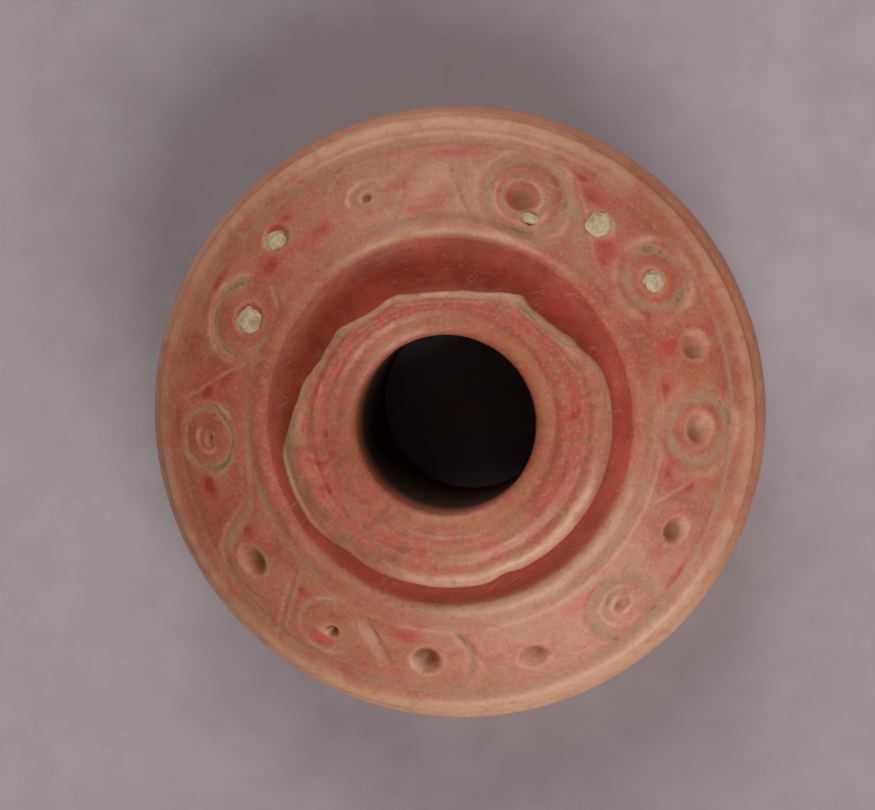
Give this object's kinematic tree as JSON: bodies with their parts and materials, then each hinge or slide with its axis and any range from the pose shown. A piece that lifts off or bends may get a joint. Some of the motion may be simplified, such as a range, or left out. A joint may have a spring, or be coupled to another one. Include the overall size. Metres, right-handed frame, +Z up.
{
  "type": "clay spindle whorl",
  "caption": "Small round fired-clay spindle whorl: flat base, rounded underside, domed shoulder carved with rings and pits, ring-shaped hollow, flared worn collar and a wide straight bore.",
  "frame": {"origin": "centre of the base, on the surface the whorl stands on, on the bore's axis", "axes": "+Z up along the bore's axis, from the flat base to the collar; +X and +Y across the body"},
  "size_m": [0.0322, 0.0322, 0.015],
  "materials": {
    "fired_clay": "burnished red-slipped earthenware, semi-gloss, worn to pale pinkish cream on its edges, with brown dirt in the grooves",
    "white_paste": "matt, granular, chalky white filling with brown dirt"
  },
  "bodies": {
    "root": {"whorl": "fired_clay", "white_paste_1": "white_paste", "white_paste_2": "white_paste", "white_paste_3": "white_paste", "white_paste_4": "white_paste", "white_paste_5": "white_paste"}
  },
  "joints": []
}
